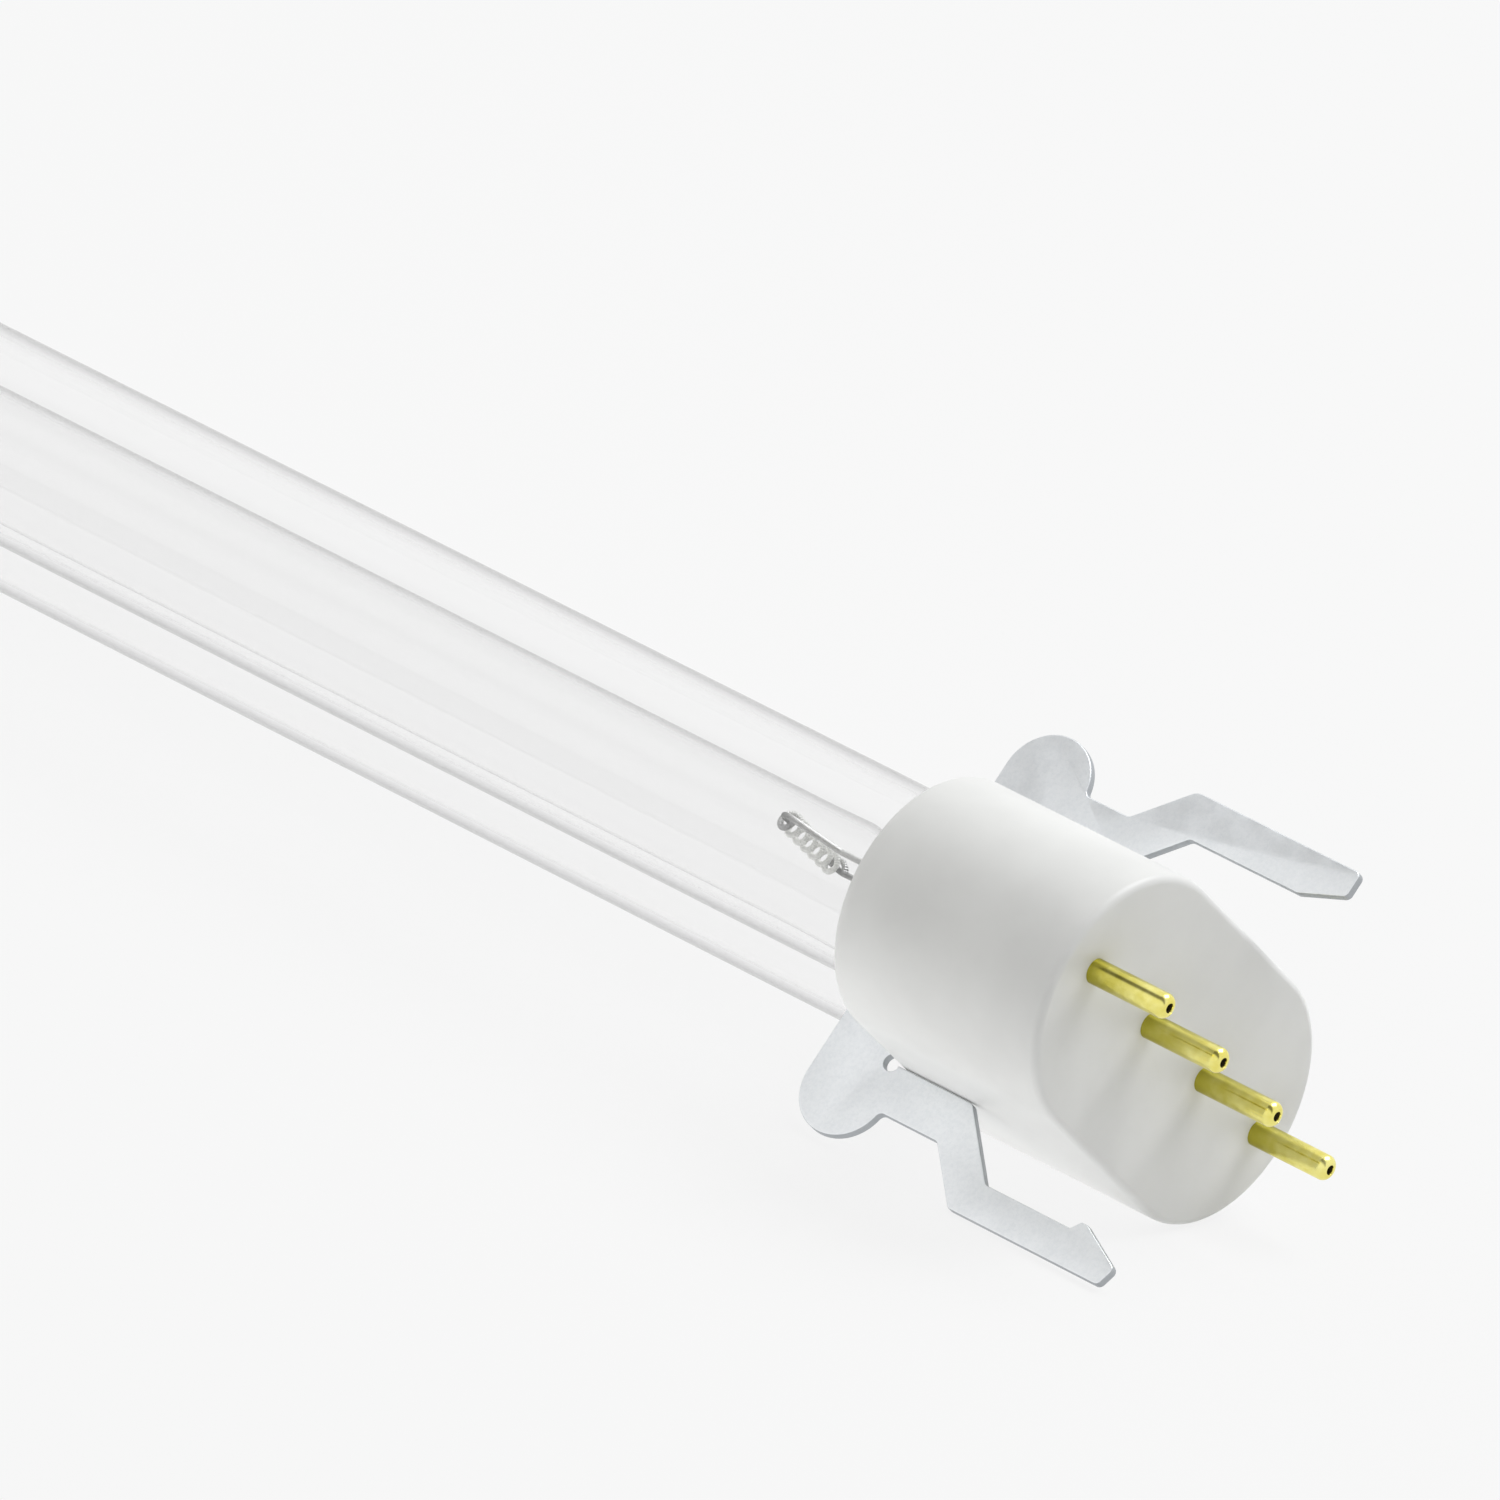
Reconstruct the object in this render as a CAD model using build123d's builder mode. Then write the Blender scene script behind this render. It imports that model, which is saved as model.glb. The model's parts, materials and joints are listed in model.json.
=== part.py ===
from build123d import *
from math import acos, atan, atan2, cos, hypot, sin, sqrt
import os

os.makedirs("parts", exist_ok=True)

# All sizes are in millimetres. Stations run along the lamp from the front face of the cap:
# negative towards the glass, positive towards the pin tips.

# Glass envelope
leg_radius = 8.75  # outside of one leg
glass_wall = 1.0
leg_offset = 10.1  # leg centre from the middle of the lamp, along the pin row
envelope_reach = 216.0  # front face to the tips of the domed ends
bridge_radius = 4.6  # outside of the short tube that joins the legs
bridge_wall = 1.0
bridge_inset = 14.5  # bridge centre from the tips of the domed ends
bridge_blend = 0.8  # melted fillet where the bridge meets a leg

# Press seals, hidden in the cap
shoulder_depth = 18.5  # where a leg stops being round
press_depth = 14.5  # where the press is fully flat
press_end_depth = 10.0
press_half_width = 7.2
press_half_thickness = 1.8
cavity_end_depth = 15.9  # deepest point of the gas space towards the base
weld_depth = 12.5  # where a support wire is welded to its lead
exhaust_radius = 1.9
exhaust_bore = 0.8
exhaust_end_depth = 8.2
exhaust_bore_depth = 11.0

# Cap
cap_length = 24.0
cap_wall = 1.5
cap_edge_radius = 1.3
flat_room = 1.61  # leg to shell, across the flats
end_room = 0.79  # leg to shell, at the round ends
front_plate = 2.2
collar_thickness = 2.5
collar_ledge = 0.4  # step in the shell that the collar seats on
collar_clearance = 0.05
cement_gap = 0.3  # cement ring round a leg, in the collar
cement_depth = 3.0  # cement poured inside the shell, in front of the collar
boss_radius = 2.5
boss_length = 3.3
rib_thickness = 1.2
rib_height = 2.4

# Contact pins
pin_pitch = 11.0
pin_radius = 1.15
pin_reach = 8.5
pin_tip_radius = 0.7
pin_shank_radius = 1.35
pin_neck = 0.6  # taper from the shank to the pin, just below the front face
pin_flange_radius = 2.0
pin_flange_thickness = 0.7
pin_bore = 0.38

# Wires and electrodes
lead_radius = 0.32
lead_spread = 2.6  # wire from the leg centre, in the press
lead_straight = 0.6
lead_bend = 0.7
lead_recess = 0.9  # end of the lead below the pin tip
support_radius = 0.28
support_bend = 0.6
support_fork_depth = 31.4  # where the two wires of a leg spread towards the ends of the coil
support_post = 1.3  # straight length along the lamp, beside the end of the coil
coil_depth = 36.3  # electrode axis from the front face
coil_turns = 7
coil_pitch = 1.5
coil_radius = 0.8  # centre line of the turns
coil_wire_radius = 0.28
coil_peg = 1.3  # bent end of a support wire, inside the coil
coil_peg_gap = 0.15  # coil end to the start of the bend
mercury_radius = 0.8
mercury_inset = 12.0  # drop from the tips of the domed ends

# Retaining clip, one stamped plate between the legs
clip_thickness = 0.9
clip_gap = 0.14  # arm to the flat of the cap
clip_relief = 0.8
lobe_radius = 4.4
lobe_depth = 26.65
lobe_height = 15.8
lobe_blend = 0.6
root_width = 4.3
latch_gap = 5.84  # free end of the lower arm to the flat of the cap
latch_width = 3.3
upper_latch_gap = 5.04
upper_latch_width = 4.0
inner_kink_depth = 14.6
outer_kink_depth = 15.6
upper_inner_kink_depth = 15.45
upper_outer_kink_depth = 17.2
arm_reach = 7.0
upper_arm_reach = 6.3
barb_start = 0.85
barb_height = 0.9
barb_run = 0.7
barb_flat = 0.7
tip_drop = 1.4  # end of the chamfer on the lower tip, from the latch edge
upper_ramp_start = 1.8
upper_ramp_drop = 1.6
kink_radius = 0.6
upper_peak_radius = 1.5  # outer corner where the upper arm runs parallel again
barb_radius = 0.2
tip_radius = 0.6

# Sizes that follow from the ones above
bore_radius = leg_radius - glass_wall
dome_station = leg_radius - envelope_reach
cap_radius = leg_radius + flat_room + cap_wall
lobe_offset = leg_offset + end_room - flat_room
recess_radius = cap_radius - cap_wall
cavity_radius = recess_radius - collar_ledge
collar_bore = leg_radius + cement_gap
collar_front = collar_thickness - cap_length
coil_length = coil_turns * coil_pitch
arm_inner = cap_radius + clip_gap
arm_outer = arm_inner + root_width
latch_inner = cap_radius + latch_gap
latch_outer = latch_inner + latch_width
upper_inner = cap_radius + upper_latch_gap
upper_outer = upper_inner + upper_latch_width
latch_start = latch_outer - arm_outer - outer_kink_depth

# Rest attitude. The lamp lies on the rim of one round end of the cap, on the start of the lower
# arm's free end and on the far end of the lower leg. Roll and rise settle against each other.
cap_rest = cap_edge_radius - cap_length
roll, rise = 0.0, 0.0
for settling in range(8):
    depth = cap_radius + rise * (latch_start - cap_rest)
    lever = lobe_offset - clip_thickness / 2
    roll = acos(depth / hypot(latch_outer, lever)) - atan2(lever, latch_outer)
    thinner = cap_radius - leg_radius - sin(roll) * (leg_offset - lobe_offset)
    rise = atan(thinner / (cap_rest - dome_station))

axis_dir = Vector(cos(rise), 0, sin(rise))
row_dir = Vector(sin(rise) * sin(roll), cos(roll), -cos(rise) * sin(roll))
up_dir = axis_dir.cross(row_dir)
height = cos(rise) * (sin(roll) * lobe_offset + cap_radius) - sin(rise) * cap_rest
front_x = cos(rise) * pin_reach + row_dir.X * 1.5 * pin_pitch
rear_x = cos(rise) * -envelope_reach - row_dir.X * leg_offset
origin = Vector(-(front_x + rear_x) / 2, 0, height)

# front: across the lamp (row, up). deck: through both legs and all pins (station, row).
# flank: between the legs (station, up).
front = Plane(origin=origin, x_dir=row_dir, z_dir=axis_dir)
deck = Plane(origin=origin, x_dir=axis_dir, z_dir=up_dir)
flank = Plane(origin=origin, x_dir=axis_dir, z_dir=-row_dir)
lamp_axis = Axis(origin, axis_dir)

leg_centres = [(-leg_offset, 0), (leg_offset, 0)]
pin_centres = [((i - 1.5) * pin_pitch, 0) for i in range(4)]
lead_centres = [(side * leg_offset + end * lead_spread, 0) for side in (-1, 1) for end in (-1, 1)]


# Glass envelope: two blown legs, joined by a bridge near their domed ends and pressed flat
# round the lead wires at the base. One of the presses keeps the sealed exhaust tube.
with BuildPart() as glass_envelope:
    for side in (-1, 1):
        leg_axis = Axis(deck.from_local_coords((0, side * leg_offset)), axis_dir)
        with BuildSketch(deck):
            with BuildLine():
                dome = CenterArc((dome_station, side * leg_offset), leg_radius, side * 90, side * 90)
                Polyline(
                    dome @ 1,
                    (-shoulder_depth, side * leg_offset),
                    (-shoulder_depth, side * (leg_offset + leg_radius)),
                    dome @ 0,
                )
            make_face()
        revolve(axis=leg_axis)
    with BuildSketch(flank.offset(-leg_offset)):
        with Locations((bridge_inset - envelope_reach, 0)):
            Circle(bridge_radius)
    extrude(amount=2 * leg_offset)
    bridge_seams = glass_envelope.edges(Select.NEW).filter_by(GeomType.BSPLINE)
    fillet(bridge_seams, bridge_blend)
    for centre in leg_centres:
        with BuildSketch(front.offset(-shoulder_depth)):
            with Locations(centre):
                Circle(leg_radius)
        with BuildSketch(front.offset(-press_depth)):
            with Locations(centre):
                Ellipse(press_half_width, press_half_thickness)
        loft()
        with BuildSketch(front.offset(-press_depth)):
            with Locations(centre):
                Ellipse(press_half_width, press_half_thickness)
        extrude(amount=press_depth - press_end_depth)
    with BuildSketch(front.offset(-press_depth)):
        with Locations(leg_centres[0]):
            Circle(exhaust_radius)
    extrude(amount=press_depth - exhaust_end_depth - exhaust_radius)
    exhaust_tip = deck.from_local_coords((-exhaust_end_depth - exhaust_radius, -leg_offset))
    with Locations(exhaust_tip):
        Sphere(exhaust_radius)
    for side in (-1, 1):
        leg_axis = Axis(deck.from_local_coords((0, side * leg_offset)), axis_dir)
        base_centre = (-cavity_end_depth - bore_radius, side * leg_offset)
        with BuildSketch(deck):
            with BuildLine():
                dome = CenterArc((dome_station, side * leg_offset), bore_radius, side * 90, side * 90)
                base = CenterArc(base_centre, bore_radius, 0, side * 90)
                Line(dome @ 1, base @ 0)
                Line(base @ 1, dome @ 0)
            make_face()
        revolve(axis=leg_axis, mode=Mode.SUBTRACT)
    with BuildSketch(flank.offset(-leg_offset)):
        with Locations((bridge_inset - envelope_reach, 0)):
            Circle(bridge_radius - bridge_wall)
    extrude(amount=2 * leg_offset, mode=Mode.SUBTRACT)
    with BuildSketch(front.offset(-exhaust_bore_depth)):
        with Locations(leg_centres[0]):
            Circle(exhaust_bore)
    extrude(amount=exhaust_bore_depth - cavity_end_depth - glass_wall, mode=Mode.SUBTRACT)
    with BuildSketch(front.offset(-weld_depth)):
        with Locations(*lead_centres):
            Circle(lead_radius)
    extrude(amount=weld_depth - press_end_depth, mode=Mode.SUBTRACT)
    with BuildSketch(front.offset(-weld_depth)):
        with Locations(*lead_centres):
            Circle(support_radius)
    extrude(amount=weld_depth - shoulder_depth - glass_wall, mode=Mode.SUBTRACT)
glass_envelope.part.label = "glass_envelope"
export_step(glass_envelope.part, "parts/glass_envelope.step")


# Cap shell: a moulded cup of stadium outline, with pin bosses and a rib behind its front plate
with BuildPart() as cap_shell:
    with BuildSketch(front):
        SlotCenterToCenter(2 * lobe_offset, 2 * cap_radius)
    extrude(amount=-cap_length)
    ends = cap_shell.faces().filter_by(front).edges()
    fillet(ends, cap_edge_radius)
    with BuildSketch(front.offset(-front_plate)):
        SlotCenterToCenter(2 * lobe_offset, 2 * cavity_radius)
    extrude(amount=front_plate - cap_length, mode=Mode.SUBTRACT)
    with BuildSketch(front.offset(-cap_length)):
        SlotCenterToCenter(2 * lobe_offset, 2 * recess_radius)
    extrude(amount=collar_thickness, mode=Mode.SUBTRACT)
    with BuildSketch(front.offset(-front_plate)):
        with Locations(*pin_centres):
            Circle(boss_radius)
    extrude(amount=-boss_length)
    with BuildSketch(front.offset(-front_plate)):
        Rectangle(3 * pin_pitch, rib_thickness)
    extrude(amount=-rib_height)
    for centre in pin_centres:
        with BuildSketch(front.offset(-pin_neck)):
            with Locations(centre):
                Circle(pin_shank_radius)
        with BuildSketch(front):
            with Locations(centre):
                Circle(pin_radius)
        loft(mode=Mode.SUBTRACT)
    with BuildSketch(front.offset(-pin_neck)):
        with Locations(*pin_centres):
            Circle(pin_shank_radius)
    extrude(amount=pin_neck - front_plate - boss_length, mode=Mode.SUBTRACT)
cap_shell.part.label = "cap_shell"
export_step(cap_shell.part, "parts/cap_shell.step")


# Cap collar: the plate that closes the shell round the two legs
with BuildPart() as cap_collar:
    with BuildSketch(front.offset(-cap_length)):
        SlotCenterToCenter(2 * lobe_offset, 2 * (recess_radius - collar_clearance))
        with Locations(*leg_centres):
            Circle(collar_bore, mode=Mode.SUBTRACT)
    extrude(amount=collar_thickness)
cap_collar.part.label = "cap_collar"
export_step(cap_collar.part, "parts/cap_collar.step")


# Capping cement: one pour that fills the collar's bores and the shell in front of the collar
with BuildPart() as capping_cement:
    with BuildSketch(front.offset(collar_front)):
        SlotCenterToCenter(2 * lobe_offset, 2 * cavity_radius)
    extrude(amount=cement_depth)
    with BuildSketch(front.offset(collar_front)):
        with Locations(*leg_centres):
            Circle(collar_bore)
    extrude(amount=-collar_thickness)
    with BuildSketch(front.offset(-cap_length)):
        with Locations(*leg_centres):
            Circle(leg_radius)
    extrude(amount=collar_thickness + cement_depth, mode=Mode.SUBTRACT)
capping_cement.part.label = "capping_cement"
export_step(capping_cement.part, "parts/capping_cement.step")


# Contact pins: turned, bored through for the lead wire, and flanged behind the boss
for number, centre in enumerate(pin_centres, start=1):
    with BuildPart() as contact_pin:
        boss_end = -front_plate - boss_length
        with BuildSketch(front.offset(boss_end)):
            with Locations(centre):
                Circle(pin_flange_radius)
        extrude(amount=-pin_flange_thickness)
        with BuildSketch(front.offset(boss_end)):
            with Locations(centre):
                Circle(pin_shank_radius)
        extrude(amount=-boss_end - pin_neck)
        with BuildSketch(front.offset(-pin_neck)):
            with Locations(centre):
                Circle(pin_shank_radius)
        with BuildSketch(front):
            with Locations(centre):
                Circle(pin_radius)
        loft()
        with BuildSketch(front):
            with Locations(centre):
                Circle(pin_radius)
        extrude(amount=pin_reach)
        fillet(contact_pin.faces().sort_by(lamp_axis)[-1].edges(), pin_tip_radius)
        with BuildSketch(front.offset(pin_reach)):
            with Locations(centre):
                Circle(pin_bore)
        extrude(amount=boss_end - pin_flange_thickness - pin_reach, mode=Mode.SUBTRACT)
    contact_pin.part.label = f"contact_pin_{number}"
    export_step(contact_pin.part, f"parts/contact_pin_{number}.step")


# Lead wires: from the weld in the press to just below the tip of their own pin
for number, (centre, lead) in enumerate(zip(pin_centres, lead_centres), start=1):
    with BuildPart() as lead_wire:
        flange_back = -front_plate - boss_length - pin_flange_thickness
        with BuildLine(deck) as lead_route:
            FilletPolyline(
                (-weld_depth, lead[0]),
                (-press_end_depth + lead_straight, lead[0]),
                (flange_back - lead_straight, centre[0]),
                (pin_reach - lead_recess, centre[0]),
                radius=lead_bend,
            )
        with BuildSketch(Plane(lead_route.line @ 0, z_dir=lead_route.line % 0)):
            Circle(lead_radius)
        sweep()
    lead_wire.part.label = f"lead_wire_{number}"
    export_step(lead_wire.part, f"parts/lead_wire_{number}.step")


# Electrodes: a coiled tungsten wire in each leg, carried on the bent ends of two support wires
for side, leg in ((-1, "near"), (1, "far")):
    with BuildPart() as electrode_coil:
        start = deck.from_local_coords((-coil_depth, side * leg_offset - coil_length / 2))
        with BuildLine() as turns:
            Helix(coil_pitch, coil_length, coil_radius, center=start, direction=row_dir)
        with BuildSketch(Plane(turns.line @ 0, z_dir=turns.line % 0)):
            Circle(coil_wire_radius)
        sweep(is_frenet=True)
    electrode_coil.part.label = f"electrode_coil_{leg}"
    export_step(electrode_coil.part, f"parts/electrode_coil_{leg}.step")

for number, lead in enumerate(lead_centres, start=1):
    side = -1 if number < 3 else 1
    outward = -1 if number % 2 else 1
    leg_centre = side * leg_offset
    peg_start = coil_length / 2 + coil_peg_gap
    post = leg_centre + outward * (peg_start + support_bend)
    with BuildPart() as support_wire:
        with BuildLine(deck) as support_route:
            FilletPolyline(
                (-weld_depth, lead[0]),
                (-support_fork_depth, lead[0]),
                (support_post - coil_depth, post),
                (-coil_depth, post),
                (-coil_depth, leg_centre + outward * (coil_length / 2 - coil_peg)),
                radius=support_bend,
            )
        with BuildSketch(Plane(support_route.line @ 0, z_dir=support_route.line % 0)):
            Circle(support_radius)
        sweep()
    support_wire.part.label = f"support_wire_{number}"
    export_step(support_wire.part, f"parts/support_wire_{number}.step")


# Mercury: a drop that has run to the lowest place in the lower leg
drop_side = bore_radius - mercury_radius
drop_place = front.from_local_coords(
    (
        leg_offset + sin(roll) * drop_side,
        -cos(roll) * drop_side,
        mercury_inset - envelope_reach,
    )
)
with BuildPart(Plane(drop_place)) as mercury_drop:
    Sphere(mercury_radius)
mercury_drop.part.label = "mercury_drop"
export_step(mercury_drop.part, "parts/mercury_drop.step")


# Retaining clip: a web between the legs, a round ear at each end, and two arms that run along
# the cap's flats and step out to their free ends. Only the lower arm has a barb.
with BuildPart() as retaining_clip:
    with BuildSketch(flank) as clip_outline:
        web_rear = -lobe_depth - lobe_radius
        with Locations(((web_rear - cap_length) / 2, 0)):
            Rectangle(-web_rear - cap_length, 2 * lobe_height)
        with Locations((-lobe_depth, lobe_height), (-lobe_depth, -lobe_height)):
            Circle(lobe_radius)
        with BuildLine():
            FilletPolyline(
                (-lobe_depth, -arm_inner),
                (-inner_kink_depth, -arm_inner),
                (-inner_kink_depth + latch_inner - arm_inner, -latch_inner),
                (barb_start, -latch_inner),
                (barb_start + barb_run, -latch_inner + barb_height),
                (barb_start + barb_run + barb_flat, -latch_inner + barb_height),
                (arm_reach, -latch_inner - tip_drop),
                (arm_reach - tip_radius, -latch_outer),
                (latch_start, -latch_outer),
                (-outer_kink_depth, -arm_outer),
                (-lobe_depth, -arm_outer),
                radius=[
                    0,
                    kink_radius,
                    kink_radius,
                    barb_radius,
                    barb_radius,
                    barb_radius,
                    tip_radius,
                    tip_radius,
                    kink_radius,
                    kink_radius,
                    0,
                ],
                close=True,
            )
        make_face()
        with BuildLine():
            FilletPolyline(
                (-lobe_depth, arm_inner),
                (-upper_inner_kink_depth, arm_inner),
                (-upper_inner_kink_depth + upper_inner - arm_inner, upper_inner),
                (upper_ramp_start, upper_inner),
                (upper_arm_reach, upper_inner + upper_ramp_drop),
                (upper_arm_reach, upper_outer),
                (-upper_outer_kink_depth + upper_outer - arm_outer, upper_outer),
                (-upper_outer_kink_depth, arm_outer),
                (-lobe_depth, arm_outer),
                radius=[
                    0,
                    kink_radius,
                    kink_radius,
                    kink_radius,
                    tip_radius,
                    tip_radius,
                    upper_peak_radius,
                    kink_radius,
                    0,
                ],
                close=True,
            )
        make_face()
        notch_depth = lobe_depth - sqrt(lobe_radius**2 - (arm_outer - lobe_height) ** 2)
        notches = clip_outline.vertices().filter_by_position(
            Axis.X, -notch_depth - 0.01, -notch_depth + 0.01
        )
        fillet(notches, lobe_blend)
        with Locations((-cap_length, arm_inner), (-cap_length, -arm_inner)):
            Circle(clip_relief, mode=Mode.SUBTRACT)
    extrude(amount=clip_thickness / 2, both=True)
retaining_clip.part.label = "retaining_clip"
export_step(retaining_clip.part, "parts/retaining_clip.step")
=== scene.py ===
import json

import bmesh
import bpy
import numpy as np
from mathutils import Matrix, Vector


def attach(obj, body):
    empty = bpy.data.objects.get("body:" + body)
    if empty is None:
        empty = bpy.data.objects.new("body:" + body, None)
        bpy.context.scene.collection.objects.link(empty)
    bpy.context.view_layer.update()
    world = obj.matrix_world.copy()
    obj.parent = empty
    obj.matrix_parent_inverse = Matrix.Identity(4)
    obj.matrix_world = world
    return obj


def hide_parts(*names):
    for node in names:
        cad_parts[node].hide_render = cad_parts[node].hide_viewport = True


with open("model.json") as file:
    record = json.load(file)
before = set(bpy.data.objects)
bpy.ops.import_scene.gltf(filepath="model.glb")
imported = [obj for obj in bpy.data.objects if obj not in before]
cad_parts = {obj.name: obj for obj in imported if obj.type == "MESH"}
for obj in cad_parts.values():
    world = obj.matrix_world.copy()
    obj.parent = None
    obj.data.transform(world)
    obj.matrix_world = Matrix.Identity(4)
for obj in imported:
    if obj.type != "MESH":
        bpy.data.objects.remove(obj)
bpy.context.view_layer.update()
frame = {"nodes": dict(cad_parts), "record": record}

# A twin-tube germicidal lamp that lies on a pale floor: clear quartz tubes, a white moulded cap,
# gold contact pins and a zinc coated retaining clip.
#
# Sizes are in millimetres in the lamp's own frame, whose three coordinates are the station along the
# lamp (0 at the front face of the cap, positive towards the pin tips), the place along the pin row
# and the height above the plane of the pins. in_room turns them into the frame's metres.

MM = 0.001

# The lamp's frame, from the mounts of the four pins
mounts = {mount["name"]: mount for mount in frame["record"]["mounts"]}
first_pin, last_pin = mounts["pin_1"], mounts["pin_4"]
lamp_axis = np.array(first_pin["axis"])
pin_row = np.array(last_pin["pos_m"]) - np.array(first_pin["pos_m"])
pin_row /= np.linalg.norm(pin_row)
lamp_up = np.cross(lamp_axis, pin_row)
lamp_frame = np.array([lamp_axis, pin_row, lamp_up])
pins_middle = (np.array(first_pin["pos_m"]) + np.array(last_pin["pos_m"])) / 2
face_centre = pins_middle - lamp_axis * first_pin["dims"]["length_mm"] / 2 * MM

# The photograph's camera
PHOTO_SIDE = 1500  # px
FACE_PIXEL = (1176.6, 1052.5)  # centre of the cap's front face, px
FACE_SCALE = 11.80  # px per mm at the front face
FOCAL = 24700  # px
SENSOR = 36.0  # mm
CLIP_RANGE = (0.05, 50)  # m
VIEW_RIGHT = (0.7254, 0.4276, 0.5391)  # image directions in the lamp's frame
VIEW_UP = (-0.3646, -0.4253, 0.8284)


def in_room(points):
    """Metres in the frame for points in mm in the lamp's frame: the face centre plus each coordinate
    times its own unit vector."""
    return face_centre + np.asarray(points, float) @ lamp_frame * MM


def toward(direction):
    """Unit vector in the frame for a direction given in the lamp's frame."""
    room = np.asarray(direction, float) @ lamp_frame
    return room / np.linalg.norm(room)


def add_camera():
    """The photograph's camera: far away with a long lens, aimed so that the cap's face falls on its
    own pixel."""
    right = toward(VIEW_RIGHT)
    up = toward(VIEW_UP)
    up = up - right * (up @ right)
    up /= np.linalg.norm(up)
    back = np.cross(right, up)
    middle = PHOTO_SIDE / 2
    aim = face_centre - right * (FACE_PIXEL[0] - middle) / FACE_SCALE * MM
    aim = aim + up * (FACE_PIXEL[1] - middle) / FACE_SCALE * MM
    place = aim + back * FOCAL / FACE_SCALE * MM
    data = bpy.data.cameras.new("camera")
    data.sensor_width = SENSOR
    data.lens = FOCAL / PHOTO_SIDE * SENSOR
    data.clip_start, data.clip_end = CLIP_RANGE
    camera = bpy.data.objects.new("camera", data)
    camera.matrix_world = Matrix(
        [(*row, spot) for row, spot in zip(np.array([right, up, back]).T, place)] + [(0, 0, 0, 1)]
    )
    bpy.context.collection.objects.link(camera)
    bpy.context.scene.camera = camera


# Sizes of the lamp, in mm
LEG_OFFSET = 10.1
LEG_RADIUS = 8.75
BORE_RADIUS = 7.75
TUBE_END = -216.0
SHOULDER = -18.5
PRESS_START, PRESS_END = -14.5, -10.0
PRESS_HALF = (7.2, 1.8)  # half width and half thickness
PRESS_EDGE = 0.3  # bevel of its end
BORE_END = -15.9
EXHAUST_RADIUS, EXHAUST_END = 1.9, -8.2
BRIDGE_STATION = -201.5
BRIDGE_RADIUS, BRIDGE_BORE = 4.6, 3.6
BRIDGE_BLEND, BORE_BLEND = 0.8, 0.4

CAP_RADIUS, CAP_OFFSET = 11.86, 9.28
CAP_EDGE, CRISP_EDGE = 1.3, 0.75  # radius of the front edge in the CAD and in the scene

PIN_PITCH = 11.0
PIN_RADIUS, PIN_REACH, PIN_ROUND = 1.15, 8.5, 0.7
SHANK_RADIUS, SHANK_START, PIN_NECK = 1.35, -5.5, -0.6
FLANGE_RADIUS, FLANGE_START = 2.0, -6.2
PIN_BORE, BORE_CHAMFER = 0.40, 0.12

COIL_STATION = -36.3
COIL_LENGTH, COIL_TURNS, COIL_RADIUS = 10.5, 7, 0.8
COIL_WIRE = 0.28
COIL_RIBS, RIB_DEPTH = 190, 0.20  # turns of the fine coil, and how deep it is notched between them

SHEET = 0.9
SHEET_ROUND = 0.13
LOBE = (-26.65, 15.8)
LOBE_RADIUS, LOBE_BLEND = 4.4, 0.6
ARM_OUTER, ARM_INNER = 16.3, 12.0
WEB_FRONT, RELIEF = -24.0, 0.8
UPPER_ARM = [  # corners of the free arm: station, height, radius
    (-17.2, 16.3, 0.6),
    (-12.6, 20.9, 1.5),
    (6.3, 20.9, 0.6),
    (6.3, 18.5, 0.6),
    (1.8, 16.9, 0.6),
    (-10.55, 16.9, 0.6),
    (-15.45, 12.0, 0.6),
]
LOWER_ARM = [
    (-15.6, 16.3, 0.6),
    (-10.9, 21.0, 0.6),
    (6.4, 21.0, 0.6),
    (7.0, 19.1, 0.6),
    (2.25, 16.8, 0.2),
    (1.55, 16.8, 0.2),
    (0.85, 17.7, 0.2),
    (-8.9, 17.7, 0.6),
    (-14.6, 12.0, 0.6),
]


# Surfaces
def quads(rows, columns, wrap=True):
    """Corner numbers of the quads of a grid of points kept row after row: each quad joins a point,
    its neighbour in the row and the same two in the next row. With wrap, a row closes on itself."""
    row, column = np.meshgrid(
        np.arange(rows - 1), np.arange(columns if wrap else columns - 1), indexing="ij"
    )
    after = (column + 1) % columns
    corners = [row * columns + column, row * columns + after]
    corners += [(row + 1) * columns + after, (row + 1) * columns + column]
    return np.stack(corners, axis=-1).reshape(-1, 4)


def surface(station, row, up, wrap=True):
    """Grid of points from three arrays that spread to rows x columns, with its quads."""
    grid = np.stack(np.broadcast_arrays(station, row, up), axis=-1).astype(float)
    return grid.reshape(-1, 3), quads(*grid.shape[:2], wrap)


def stacked(surfaces):
    """Several (points, faces) pairs as one, the corner numbers of each raised by the points before."""
    points, faces, before = [], [], 0
    for spots, corners in surfaces:
        points.append(spots)
        faces += [[corner + before for corner in face] for face in corners]
        before += len(spots)
    return np.concatenate(points), faces


def closed_shell(surfaces, inward=False):
    """Surfaces that meet edge to edge as one closed shell: touching points are merged, degenerate
    faces go with them, and the normals point out of the shell, or into it."""
    points, faces = stacked(surfaces)
    mesh = bpy.data.meshes.new("shell")
    mesh.from_pydata(points, [], faces)
    shell = bmesh.new()
    shell.from_mesh(mesh)
    bmesh.ops.remove_doubles(shell, verts=shell.verts, dist=MERGE)
    bmesh.ops.dissolve_degenerate(shell, edges=shell.edges, dist=MERGE)
    bmesh.ops.recalc_face_normals(shell, faces=shell.faces)
    if inward:
        bmesh.ops.reverse_faces(shell, faces=shell.faces)
    assert all(edge.is_manifold for edge in shell.edges), "a shell is open"
    points = np.array([v.co for v in shell.verts])
    faces = [[v.index for v in face.verts] for face in shell.faces]
    shell.free()
    bpy.data.meshes.remove(mesh)
    return points, faces


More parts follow.
